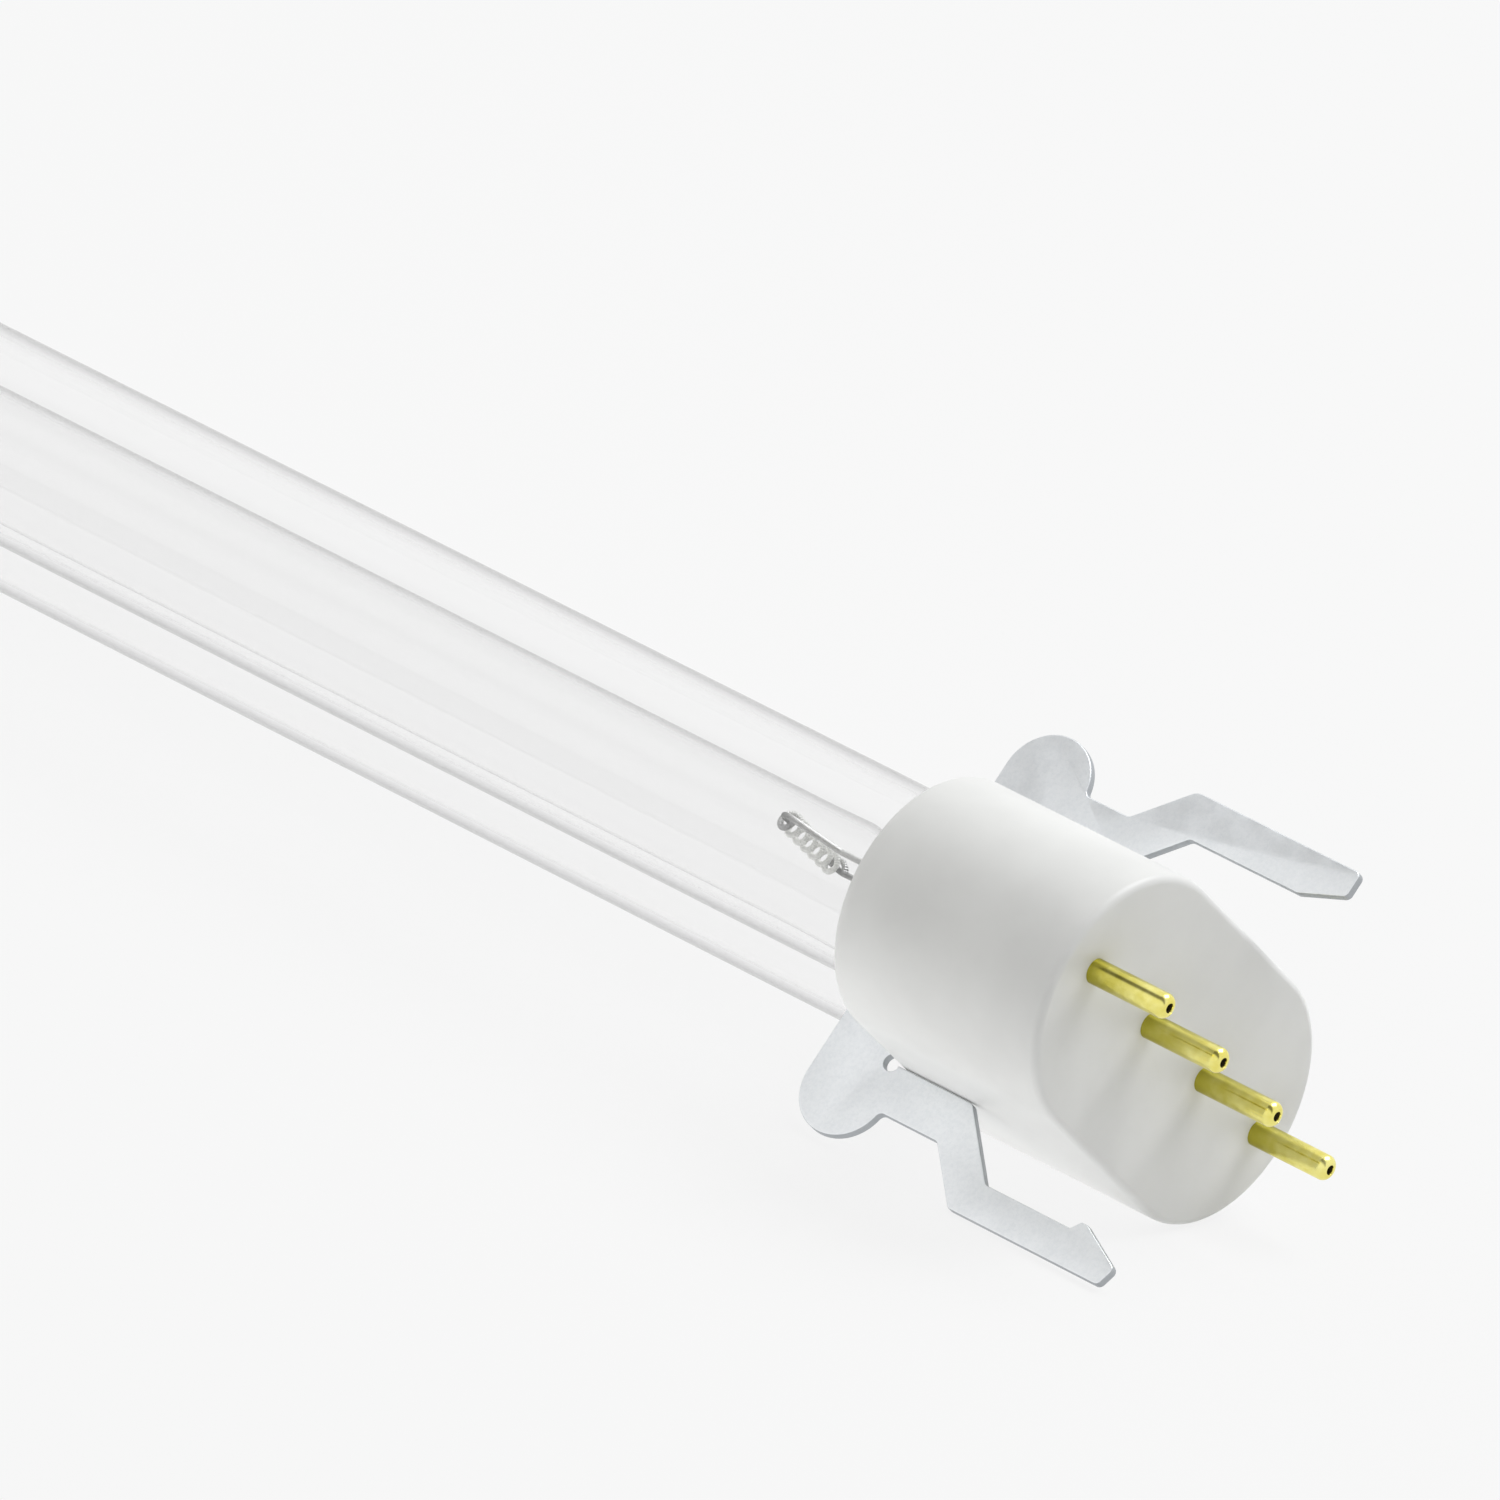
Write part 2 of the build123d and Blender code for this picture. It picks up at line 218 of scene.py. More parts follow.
def add_piece(name, shells, material, replaced):
    """A smooth piece from closed shells in the lamp's frame. It stands for a CAD node."""
    points, faces = stacked(shells)
    mesh = bpy.data.meshes.new(name)
    mesh.from_pydata(in_room(points), [], faces)
    mesh.polygons.foreach_set("use_smooth", [len(face) < 5 for face in faces])
    mesh.set_sharp_from_angle(angle=SHARP)
    mesh.materials.append(material)
    piece = bpy.data.objects.new(name, mesh)
    bpy.context.collection.objects.link(piece)
    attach(piece, "root")
    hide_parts(replaced)
    return piece


MERGE = 1e-4  # mm, points closer than this are one
ROOM = 1e-3  # mm, how far a point may lie off a line of the CAD mesh
SHARP = np.radians(38)
LEG_SIDES = 128
WINDOW_COLUMNS = (42, 86)  # columns of a leg between which the window for the bridge lies
WINDOW_MARGIN = 1.5  # mm
around = np.linspace(-np.pi, np.pi, LEG_SIDES, endpoint=False)


def on_leg(side, station, angle, width, height):
    """Points round a leg: its half width along the row times the cosine of an angle counted from the
    side that faces the other leg, and its half height times the sine."""
    return station, side * (LEG_OFFSET - width * np.cos(angle)), height * np.sin(angle)


def leg_dome(side, radius, centre, closing_end):
    """Half a sphere round a leg's end: the radius times the sine of a slope that goes from 0 at the
    pole to a right angle. closing_end is -1 at the far end and 1 at the base."""
    slope = np.linspace(0, np.pi / 2, 17)[:, None]
    size = radius * np.sin(slope)
    return surface(*on_leg(side, centre + closing_end * radius * np.cos(slope), around, size, size))


def pierced_leg(side, radius, end, hole, blend):
    """The straight wall of a leg, with a round hole that flows into the bridge.

    The wall is a grid of stations and angles with a window left out of it. Rings fill the window,
    each a share of the way from the window's edge to the rim of the hole. From the rim, a quarter
    circle carries the wall over into the bridge: its distance from the bridge's axis falls by the
    blend times the sine of the quarter's angle, and it rises from the leg by the blend times one
    minus the cosine. The last ring is also returned.
    """
    dome_base = TUBE_END + LEG_RADIUS
    window_end = 2 * BRIDGE_STATION - dome_base + WINDOW_MARGIN
    window = np.linspace(dome_base, window_end, 25)
    stations = np.concatenate([window, np.linspace(window_end, end, 24)[1:]])
    wall, faces = surface(*on_leg(side, stations[:, None], around, radius, radius))
    first, last = WINDOW_COLUMNS
    cell_row, cell_column = np.divmod(np.arange(len(faces)), LEG_SIDES)
    kept = (cell_row >= len(window) - 1) | (cell_column < first) | (cell_column >= last)
    faces = faces[kept]
    along, angles = np.arange(len(window)), np.arange(first, last + 1)
    edge_rows = np.concatenate([
        along[:-1], np.full(len(angles) - 1, along[-1]), along[:0:-1], np.zeros(len(angles) - 1, int)
    ])
    edge_columns = np.concatenate([
        np.full(len(along) - 1, first), angles[:-1], np.full(len(along) - 1, last), angles[:0:-1]
    ])
    edge_station, edge_angle = window[edge_rows], around[edge_columns]
    turn = np.arctan2(radius * np.sin(edge_angle), edge_station - BRIDGE_STATION)
    rim_station = BRIDGE_STATION + (hole + blend) * np.cos(turn)
    rim_angle = np.arcsin((hole + blend) * np.sin(turn) / radius)
    share = np.linspace(0, 1, 9)[:, None]
    patch = surface(*on_leg(
        side,
        edge_station + (rim_station - edge_station) * share,
        edge_angle + (rim_angle - edge_angle) * share,
        radius,
        radius,
    ))
    quarter = np.linspace(0, np.pi / 2, 9)[:, None]
    reach = hole + blend * (1 - np.sin(quarter))
    rise = np.sqrt(radius**2 - (reach * np.sin(turn)) ** 2) + blend * (1 - np.cos(quarter))
    flow = surface(
        BRIDGE_STATION + reach * np.cos(turn), side * (LEG_OFFSET - rise), reach * np.sin(turn)
    )
    ring = flow[0][-len(turn):]
    return [(wall, faces), patch, flow], ring


def tubes(radius, end, hole, blend):
    """Both legs' straight walls and far domes, and the bridge between the last rings of the two."""
    made, rings = [], []
    for side in (-1, 1):
        walls, ring = pierced_leg(side, radius, end, hole, blend)
        made += walls + [leg_dome(side, radius, TUBE_END + LEG_RADIUS, -1)]
        rings.append(ring)
    bridge = np.stack([rings[0], (rings[0] + rings[1]) / 2, rings[1]])
    return made + [(bridge.reshape(-1, 3), quads(3, bridge.shape[1]))]


def press_seal(side):
    """A leg's base: its section goes from round to the flat press, runs straight and closes."""
    share = np.linspace(0, 1, 13)
    station = SHOULDER + (PRESS_START - SHOULDER) * share
    width = LEG_RADIUS + (PRESS_HALF[0] - LEG_RADIUS) * share
    height = LEG_RADIUS + (PRESS_HALF[1] - LEG_RADIUS) * share
    station = np.append(station, [PRESS_END - PRESS_EDGE, PRESS_END, PRESS_END])
    width = np.append(width, [PRESS_HALF[0], PRESS_HALF[0] - PRESS_EDGE, 0])
    height = np.append(height, [PRESS_HALF[1], PRESS_HALF[1] - PRESS_EDGE, 0])
    return surface(*on_leg(side, station[:, None], around, width[:, None], height[:, None]))


def exhaust_tube():
    """The sealed exhaust tube of the near leg: a round rod with a round end that starts in the
    press."""
    slope = np.linspace(0, np.pi / 2, 9)[::-1]
    centre = EXHAUST_END - EXHAUST_RADIUS
    station = np.concatenate([[PRESS_START, PRESS_START], centre + EXHAUST_RADIUS * np.cos(slope)])
    radius = np.concatenate([[0, EXHAUST_RADIUS], EXHAUST_RADIUS * np.sin(slope)])[:, None]
    return surface(*on_leg(-1, station[:, None], around[::4], radius, radius))


def add_glass(outside, inside):
    """The quartz envelope: an outer shell whose normals point out, a bore whose normals point into
    the gas, and the exhaust tube."""
    outer = tubes(LEG_RADIUS, SHOULDER, BRIDGE_RADIUS, BRIDGE_BLEND)
    outer += [press_seal(side) for side in (-1, 1)]
    base = BORE_END - BORE_RADIUS
    bore = tubes(BORE_RADIUS, base, BRIDGE_BORE, BORE_BLEND)
    bore += [leg_dome(side, BORE_RADIUS, base, 1) for side in (-1, 1)]
    shells = [closed_shell(outer), closed_shell(bore, inward=True), closed_shell([exhaust_tube()])]
    tubes_piece = add_piece("quartz_tubes", shells, outside, "glass_envelope")
    tubes_piece.data.materials.append(inside)
    first, count = len(shells[0][1]), len(shells[1][1])
    for face in tubes_piece.data.polygons[first:first + count]:
        face.material_index = 1


def add_cap(material):
    """The moulded cap: a merged copy of its CAD mesh whose front edge is rounded more tightly. A
    point of the rounding keeps its angle, from the side to the face, and takes the smaller radius.
    The distance of a point is counted from the line that joins the centres of the round ends."""
    copy = bmesh.new()
    copy.from_mesh(frame["nodes"]["cap_shell"].data)
    bmesh.ops.remove_doubles(copy, verts=copy.verts, dist=MERGE * MM)
    points = (np.array([v.co for v in copy.verts]) - face_centre) @ lamp_frame.T / MM
    faces = [[v.index for v in face.verts] for face in copy.faces]
    copy.free()
    station, row, up = points.T
    middle = np.clip(row, -CAP_OFFSET, CAP_OFFSET)
    distance = np.hypot(row - middle, up)
    inside = CAP_RADIUS - CAP_EDGE
    edge = (station > -CAP_EDGE - ROOM) & (distance > inside - ROOM)
    angle = np.arctan2(station[edge] + CAP_EDGE, distance[edge] - inside)
    larger = (CAP_RADIUS - CRISP_EDGE * (1 - np.cos(angle))) / distance[edge]
    points[edge] = np.stack([
        CRISP_EDGE * (np.sin(angle) - 1),
        middle[edge] + (row - middle)[edge] * larger,
        up[edge] * larger,
    ], axis=-1)
    cap = add_piece("moulded_cap", [(points, faces)], material, "cap_shell")
    flat = cap.modifiers.new("flat_faces", "WEIGHTED_NORMAL")
    flat.keep_sharp = True


def add_pins(material, inside):
    """Four turned pins: a closed profile of station and radius, revolved. The tip is a quarter
    circle, and the bore has a small chamfer. The faces of the bore have their own material, for the
    painted shade in the hole."""
    slope = np.linspace(0, np.pi / 2, 13)
    tip_station = PIN_REACH - PIN_ROUND + PIN_ROUND * np.sin(slope)
    tip_radius = PIN_RADIUS - PIN_ROUND + PIN_ROUND * np.cos(slope)
    station = [FLANGE_START, FLANGE_START, SHANK_START, SHANK_START, PIN_NECK, 0, *tip_station]
    radius = [PIN_BORE, FLANGE_RADIUS, FLANGE_RADIUS, SHANK_RADIUS, SHANK_RADIUS, PIN_RADIUS]
    radius += [*tip_radius]
    station += [PIN_REACH - BORE_CHAMFER, FLANGE_START]
    radius += [PIN_BORE, PIN_BORE]
    turn = around[::2]
    station, radius = np.array(station)[:, None], np.array(radius)[:, None]
    for number in range(1, 5):
        row = (number - 2.5) * PIN_PITCH
        pin = surface(station, row + radius * np.cos(turn), radius * np.sin(turn))
        shell = closed_shell([pin])
        piece = add_piece(f"gold_pin_{number}", [shell], material, f"contact_pin_{number}")
        piece.data.materials.append(inside)
        for face in piece.data.polygons:
            corners = shell[0][list(face.vertices)]
            if np.hypot(corners[:, 1] - row, corners[:, 2]).max() < PIN_BORE + ROOM:
                face.material_index = 1


def add_coil(leg, side, material):
    """A coiled coil: the wire follows a helix along the row, and its own section swells and shrinks
    along it, once for each turn of the fine coil, by the sine of its share of the turns. A section
    lies across the helix, spanned by the direction away from the coil's axis and the one square to
    that and to the wire."""
    share = np.linspace(0, 1, COIL_RIBS * 6 + 1)
    turn = 2 * np.pi * COIL_TURNS * share
    centre = np.stack([
        COIL_STATION + COIL_RADIUS * np.cos(turn),
        side * LEG_OFFSET + COIL_LENGTH * (share - 0.5),
        -COIL_RADIUS * np.sin(turn),
    ], axis=-1)
    wire = np.gradient(centre, axis=0)
    wire /= np.linalg.norm(wire, axis=1)[:, None]
    away = np.stack([np.cos(turn), np.zeros_like(turn), -np.sin(turn)], axis=-1)
    third = np.cross(wire, away)
    fine = COIL_WIRE * (1 - RIB_DEPTH + RIB_DEPTH * np.abs(np.sin(np.pi * COIL_RIBS * share)))
    fine[[0, -1]] = 0
    angle = np.linspace(0, 2 * np.pi, 12, endpoint=False)
    spread_out = away[:, None] * np.cos(angle)[:, None] + third[:, None] * np.sin(angle)[:, None]
    points = centre[:, None] + fine[:, None, None] * spread_out
    shell = closed_shell([(points.reshape(-1, 3), quads(len(share), len(angle)))])
    add_piece(f"coiled_filament_{leg}", [shell], material, f"electrode_coil_{leg}")


def arc(centre, radius, start, end, steps):
    """Points of an arc between two angles in degrees, both ends kept."""
    angle = np.radians(np.linspace(start, end, steps))[:, None]
    return np.array(centre) + radius * np.hstack([np.cos(angle), np.sin(angle)])


def rounded(before, corners, after):
    """Points along a line of corners, each replaced by the arc of its radius that touches both its
    runs. The arc's centre lies on the half-way direction, the radius over the sine of half the
    corner's angle away."""
    spots = np.array([before] + [corner[:2] for corner in corners] + [after])
    runs = []
    for last, corner, following, (_, _, radius) in zip(spots, spots[1:], spots[2:], corners):
        back = (last - corner) / np.linalg.norm(last - corner)
        on = (following - corner) / np.linalg.norm(following - corner)
        half_way = (back + on) / np.linalg.norm(back + on)
        sine = np.sqrt((1 - back @ on) / 2)
        centre = corner + half_way * radius / sine
        first = corner + back * radius * np.sqrt(1 - sine**2) / sine - centre
        final = corner + on * radius * np.sqrt(1 - sine**2) / sine - centre
        start, end = np.degrees(np.arctan2([first[1], final[1]], [first[0], final[0]]))
        turn = (end - start + 180) % 360 - 180
        runs.append(arc(centre, radius, start, start + turn, max(5, int(abs(turn) / 8))))
    return np.concatenate(runs)


def half_outline(corners):
    """Half of the clip's outline, drawn as the upper one: up the rear of the lobe and round it, a
    small hollow into the arm, the arm's corners, and back to the relief and the web."""
    blend_up = ARM_OUTER + LOBE_BLEND
    reach = LOBE_RADIUS + LOBE_BLEND
    blend_station = LOBE[0] + np.sqrt(reach**2 - (blend_up - LOBE[1]) ** 2)
    meeting = np.degrees(np.arctan2(blend_up - LOBE[1], blend_station - LOBE[0]))
    lobe = arc(LOBE, LOBE_RADIUS, 180, meeting, 49)
    hollow = arc((blend_station, blend_up), LOBE_BLEND, meeting + 180, 270, 9)[1:]
    arm = rounded(hollow[-1], corners, (WEB_FRONT + RELIEF, ARM_INNER))
    relief = arc((WEB_FRONT, ARM_INNER), RELIEF, 0, 270, 25)
    return np.concatenate([lobe, hollow, arm, relief])


def add_clip(material):
    """The stamped sheet: a closed outline carried round the rounded edge of the sheet. The rounding
    moves a ring inwards by its radius times one minus the cosine and outwards from the middle by
    its radius times the sine. Two flat faces close it."""
    lower = half_outline(LOWER_ARM) * (1, -1)
    outline = np.concatenate([half_outline(UPPER_ARM), lower[::-1]])
    step = np.roll(outline, -1, axis=0) - np.roll(outline, 1, axis=0)
    inwards = np.stack([step[:, 1], -step[:, 0]], axis=-1) / np.linalg.norm(step, axis=1)[:, None]
    slope = np.linspace(0, np.pi / 2, 5)
    inset = SHEET_ROUND * (1 - np.cos(slope))
    height = SHEET / 2 - SHEET_ROUND + SHEET_ROUND * np.sin(slope)
    inset = np.concatenate([inset[::-1], inset])[:, None]
    height = np.concatenate([-height[::-1], height])[:, None]
    rim = surface(
        outline[:, 0] + inwards[:, 0] * inset, height, outline[:, 1] + inwards[:, 1] * inset
    )
    count = len(outline)
    faces = rim[1].tolist()
    faces += [list(range(count)), list(range(len(rim[0]) - count, len(rim[0])))]
    shell = closed_shell([(rim[0], faces)])
    add_piece("stamped_clip", [shell], material, "retaining_clip")


# Shader helpers
def new_material(name):
    """A node material with its Principled shader: (material, tree, shader)."""
    material = bpy.data.materials.new(name)
    material.use_nodes = True
    tree = material.node_tree
    return material, tree, tree.nodes["Principled BSDF"]


def node(tree, kind, inputs=None, **settings):
    """A node of the tree with its settings, and its inputs as numbers or as linked sockets."""
    made = tree.nodes.new(kind)
    for name, value in settings.items():
        setattr(made, name, value)
    for name, value in (inputs or {}).items():
        if isinstance(value, bpy.types.NodeSocket):
            tree.links.new(value, made.inputs[name])
        else:
            made.inputs[name].default_value = value
    return made


def maths(tree, operation, *values):
    """Value socket of a sum or another operation on numbers or sockets."""
    made = node(tree, "ShaderNodeMath", dict(enumerate(values)), operation=operation)
    return made.outputs["Value"]


def share_along(tree, vector, direction):
    """Value socket of a vector's dot product with a fixed direction."""
    inputs = {0: vector, 1: tuple(direction)}
    return node(tree, "ShaderNodeVectorMath", inputs, operation="DOT_PRODUCT").outputs["Value"]


def lamp_coordinates(tree, squeeze=(1, 1, 1)):
    """Object coordinates turned into the lamp's frame in mm, each multiplied by its squeeze. The
    three sockets of the dot products with the lamp's unit vectors are joined into one vector."""
    place = node(tree, "ShaderNodeTexCoord").outputs["Object"]
    shifted = node(
        tree, "ShaderNodeVectorMath", {0: place, 1: tuple(face_centre)}, operation="SUBTRACT"
    ).outputs["Vector"]
    directions = [unit * factor / MM for unit, factor in zip(lamp_frame, squeeze)]
    parts = {axis: share_along(tree, shifted, towards) for axis, towards in zip("XYZ", directions)}
    return node(tree, "ShaderNodeCombineXYZ", parts).outputs["Vector"]


def lamp_coordinate(tree, axis):
    """Socket of one lamp coordinate in mm: X is the station, Y the row and Z the height."""
    return node(tree, "ShaderNodeSeparateXYZ", {0: lamp_coordinates(tree)}).outputs[axis]


def noise(tree, vector, scale, detail=3.0, roughness=0.5):
    """Value socket of a noise pattern."""
    made = node(
        tree,
        "ShaderNodeTexNoise",
        {"Vector": vector, "Scale": scale, "Detail": detail, "Roughness": roughness},
    )
    return made.outputs["Fac"]


def spread(tree, value, low, high, start=0.0, end=1.0):
    """The value mapped from the range low..high to start..end, and held there outside it."""
    made = node(
        tree,
        "ShaderNodeMapRange",
        {"Value": value, "From Min": low, "From Max": high, "To Min": start, "To Max": end},
    )
    return made.outputs["Result"]


def blend_colours(tree, factor, first, second):
    """Colour socket between two colours by the factor."""
    made = node(tree, "ShaderNodeMix", data_type="RGBA")
    tree.links.new(factor, made.inputs[0])
    ends = [socket for socket in made.inputs if socket.type == "RGBA"]
    for socket, colour in zip(ends, (first, second)):
        if isinstance(colour, bpy.types.NodeSocket):
            tree.links.new(colour, socket)
        else:
            socket.default_value = (*colour, 1)
    return [socket for socket in made.outputs if socket.type == "RGBA"][0]


def bump(tree, shader, height, strength, distance):
    """Bends the shader's normal by the height, whose full range stands for the distance in mm."""
    made = node(
        tree,
        "ShaderNodeBump",
        {"Height": height, "Strength": strength, "Distance": distance * MM},
    )
    tree.links.new(made.outputs["Normal"], shader.inputs["Normal"])


# Materials
QUARTZ = (0.978, 0.978, 0.978)
SLANT = (0.60, 0.80)  # how far the wall is turned from the view where its painted edge shade sets in and is full
OLIVE_SHADE_STATIONS = (1.8, 8.2)  # mm along a pin, where the painted olive shade near the cap's face is full and where it has gone
OLIVE_SHADE_CLOUDS = 3.0  # mm by which clouds move the end of that painted shade
EDGE_TURN = (0.9, 0.5)  # the normal's share along the row, on the sheet's face and on its edge
DARK_TO_PALE_STATIONS = (-36.6, -33.6)  # stations between which the mount's wires go from dark to pale
COATING_END = (4.6, 5.6)  # mm from a coil's middle, where its coating thins out and where it ends


def quartz_glass(name, painted_edge_shade):
    """Clear drawn quartz with faint draw lines along the tubes. Its colour darkens where the wall is
    seen
    at a slant: painted shade that makes the soft dark edges of the tubes. Rays from lamps and soft
    light pass straight through."""
    material, tree, shader = new_material(name)
    shader.inputs["IOR"].default_value = 1.46
    shader.inputs["Transmission Weight"].default_value = 1.0
    slant = node(tree, "ShaderNodeLayerWeight", {"Blend": 0.5}).outputs["Facing"]
    # Painted shade: the colour darkens where the wall is seen at a slant, for the dark edges of the
    # tubes.
    tint = blend_colours(tree, spread(tree, slant, *SLANT), QUARTZ, (painted_edge_shade,) * 3)
    tree.links.new(tint, shader.inputs["Base Color"])
    lines = noise(tree, lamp_coordinates(tree, (0.01, 0.5, 0.5)), 0.7, 1.0)
    tree.links.new(spread(tree, lines, 0.3, 0.7, 0.0, 0.02), shader.inputs["Roughness"])
    bump(tree, shader, lines, 0.1, 0.01)
    clear = node(tree, "ShaderNodeBsdfTransparent", {"Color": (0.93, 0.93, 0.93, 1)})
    path = node(tree, "ShaderNodeLightPath").outputs
    soft = maths(tree, "MAXIMUM", path["Is Shadow Ray"], path["Is Diffuse Ray"])
    both = node(tree, "ShaderNodeMixShader", {0: soft})
    tree.links.new(shader.outputs["BSDF"], both.inputs[1])
    tree.links.new(clear.outputs["BSDF"], both.inputs[2])
    tree.links.new(both.outputs["Shader"], tree.nodes["Material Output"].inputs["Surface"])
    return material


def white_cap():
    """Satin moulded white: a fine spark-eroded grain and slow clouds in its polish."""
    material, tree, shader = new_material("white_cap")
    place = lamp_coordinates(tree)
    clouds = noise(tree, place, 0.12, 3.0)
    grain = noise(tree, place, 7.0, 4.0, 0.6)
    cloudy = spread(tree, clouds, 0.35, 0.65)
    colour = blend_colours(tree, cloudy, (0.80, 0.80, 0.79), (0.84, 0.84, 0.83))
    tree.links.new(colour, shader.inputs["Base Color"])
    tree.links.new(spread(tree, clouds, 0.3, 0.7, 0.30, 0.42), shader.inputs["Roughness"])
    shader.inputs["Specular IOR Level"].default_value = 0.4
    bump(tree, shader, grain, 0.2, 0.02)
    return material


def gold_pin():
    """Gold flash on turned brass: fine rings across the lamp's axis, a slightly cloudy polish, and a
    dark olive of painted shade near the cap's face that gives way to the full flash towards the tip."""
    material, tree, shader = new_material("gold_pin")
    shader.inputs["Metallic"].default_value = 1.0
    rings = noise(tree, lamp_coordinates(tree, (1, 0.02, 0.02)), 9.0, 2.0)
    clouds = noise(tree, lamp_coordinates(tree), 0.8, 3.0)
    cloudy = spread(tree, clouds, 0.3, 0.7)
    flash = blend_colours(tree, cloudy, (0.82, 0.73, 0.17), (0.93, 0.87, 0.32))
    # Painted shade: a dark olive near the cap's face, its end moved by the clouds, fades into the flash.
    moved = maths(tree, "MULTIPLY", clouds, OLIVE_SHADE_CLOUDS)
    station = maths(tree, "ADD", lamp_coordinate(tree, "X"), moved)
    full = spread(tree, station, *OLIVE_SHADE_STATIONS)
    tree.links.new(blend_colours(tree, full, (0.44, 0.395, 0.05), flash), shader.inputs["Base Color"])
    tree.links.new(spread(tree, clouds, 0.3, 0.7, 0.16, 0.25), shader.inputs["Roughness"])
    bump(tree, shader, rings, 0.1, 0.01)
    return material


def zinc_sheet():
    """Zinc coated spring steel, pale blue-grey with a fine speckle of darker crystals. The sheared
    edge, where the normal lies across the pin row, is darker: bare steel, with painted shade on it too."""
    material, tree, shader = new_material("zinc_sheet")
    place = lamp_coordinates(tree)
    speckle = noise(tree, place, 3.2, 5.0, 0.7)
    clouds = noise(tree, place, 0.35, 2.0)
    speckled = spread(tree, speckle, 0.36, 0.6)
    colour = blend_colours(tree, speckled, (0.885, 0.91, 0.93), (0.945, 0.965, 0.98))
    normal = node(tree, "ShaderNodeNewGeometry").outputs["Normal"]
    flatness = maths(tree, "ABSOLUTE", share_along(tree, normal, pin_row))
    # Darker sheared edge: partly bare steel, partly painted shade.
    bare_and_shaded_edge = spread(tree, flatness, *EDGE_TURN)
    tree.links.new(blend_colours(tree, bare_and_shaded_edge, colour, (0.44, 0.46, 0.48)), shader.inputs["Base Color"])
    shader.inputs["Metallic"].default_value = 0.9
    tree.links.new(spread(tree, clouds, 0.3, 0.7, 0.42, 0.55), shader.inputs["Roughness"])
    bump(tree, shader, speckle, 0.25, 0.03)
    return material


def drawn_wire(name, dark, light, roughness):
    """Drawn wire with die marks and a mottled oxide between a dark and a light tone. Near black, it
    also serves as the painted shade in the pins' bores.
    """
    material, tree, shader = new_material(name)
    shader.inputs["Metallic"].default_value = 1.0
    mottle = noise(tree, lamp_coordinates(tree), 2.5, 4.0)
    colour = blend_colours(tree, spread(tree, mottle, 0.35, 0.65), dark, light)
    tree.links.new(colour, shader.inputs["Base Color"])
    uneven = spread(tree, mottle, 0.3, 0.7, roughness - 0.08, roughness + 0.08)
    tree.links.new(uneven, shader.inputs["Roughness"])
    bump(tree, shader, mottle, 0.2, 0.02)
    return material


def mount_wire():
    """Nickel plated iron of the electrode mount: satin and pale, and darker over the last few
    millimetres before the coil."""
    material, tree, shader = new_material("mount_wire")
    shader.inputs["Metallic"].default_value = 0.6
    mottle = noise(tree, lamp_coordinates(tree), 2.5, 4.0)
    mottled = spread(tree, mottle, 0.35, 0.65)
    plating = blend_colours(tree, mottled, (0.56, 0.56, 0.55), (0.68, 0.68, 0.67))
    station = maths(tree, "ADD", mottle, lamp_coordinate(tree, "X"))
    paler = spread(tree, station, *DARK_TO_PALE_STATIONS)
    tree.links.new(blend_colours(tree, paler, (0.20, 0.20, 0.20), plating), shader.inputs["Base Color"])
    tree.links.new(spread(tree, mottle, 0.3, 0.7, 0.5, 0.7), shader.inputs["Roughness"])
    bump(tree, shader, mottle, 0.2, 0.02)
    return material


def coated_tungsten():
    """Tungsten coil under its chalky, pale emitter coating. The coating thins out towards the ends
    of the coil, by the distance along the row from the middle of the nearer leg, and in specks."""
    material, tree, shader = new_material("coated_tungsten")
    specks = noise(tree, lamp_coordinates(tree), 3.0, 5.0, 0.7)
    from_middle = maths(tree, "ABSOLUTE", lamp_coordinate(tree, "Y"))
    from_leg = maths(tree, "ABSOLUTE", maths(tree, "SUBTRACT", from_middle, LEG_OFFSET))
    bare = spread(tree, maths(tree, "ADD", specks, from_leg), *COATING_END)
    speckled = spread(tree, specks, 0.35, 0.65)
    coating = blend_colours(tree, speckled, (0.88, 0.88, 0.86), (0.95, 0.95, 0.93))
    tree.links.new(blend_colours(tree, bare, coating, (0.50, 0.50, 0.50)), shader.inputs["Base Color"])
    tree.links.new(bare, shader.inputs["Metallic"])
    tree.links.new(spread(tree, bare, 0, 1, 0.85, 0.55), shader.inputs["Roughness"])
    bump(tree, shader, specks, 0.5, 0.04)
    return material


def chalky_cement():
    """Capping cement: chalky, off-white and slightly gritty."""
    material, tree, shader = new_material("chalky_cement")
    grit = noise(tree, lamp_coordinates(tree), 2.0, 6.0, 0.7)
    gritty = spread(tree, grit, 0.3, 0.7)
    colour = blend_colours(tree, gritty, (0.62, 0.59, 0.52), (0.80, 0.78, 0.72))
    tree.links.new(colour, shader.inputs["Base Color"])
    tree.links.new(spread(tree, grit, 0.3, 0.7, 0.8, 0.95), shader.inputs["Roughness"])
    bump(tree, shader, grit, 0.6, 0.08)
    return material


def liquid_mercury():
    """Liquid metal with a faint film."""
    material, tree, shader = new_material("liquid_mercury")
    shader.inputs["Metallic"].default_value = 1.0
    film = noise(tree, lamp_coordinates(tree), 1.5, 2.0)
    colour = blend_colours(tree, film, (0.70, 0.70, 0.72), (0.82, 0.82, 0.84))
    tree.links.new(colour, shader.inputs["Base Color"])
    tree.links.new(spread(tree, film, 0.3, 0.7, 0.04, 0.12), shader.inputs["Roughness"])
    return material


# Stage
BACKGROUND = 0.930  # linear value of the photograph's pale grey
AMBIENT = 0.525  # strength of the world's own light
AMBIENT_COLOUR = (1.0, 1.0, 0.97, 1)
FRONT_SHADE = 0.68  # share of it that the side before the cap's face lacks
DARK_GAP = 0.80  # share of the background's light that the gap in the diffusers lacks
GAP_CENTRE = np.radians(32)
GAP_HALF, GAP_REACH = np.radians(10), np.radians(22)  # from its centre, where it is dark and ends


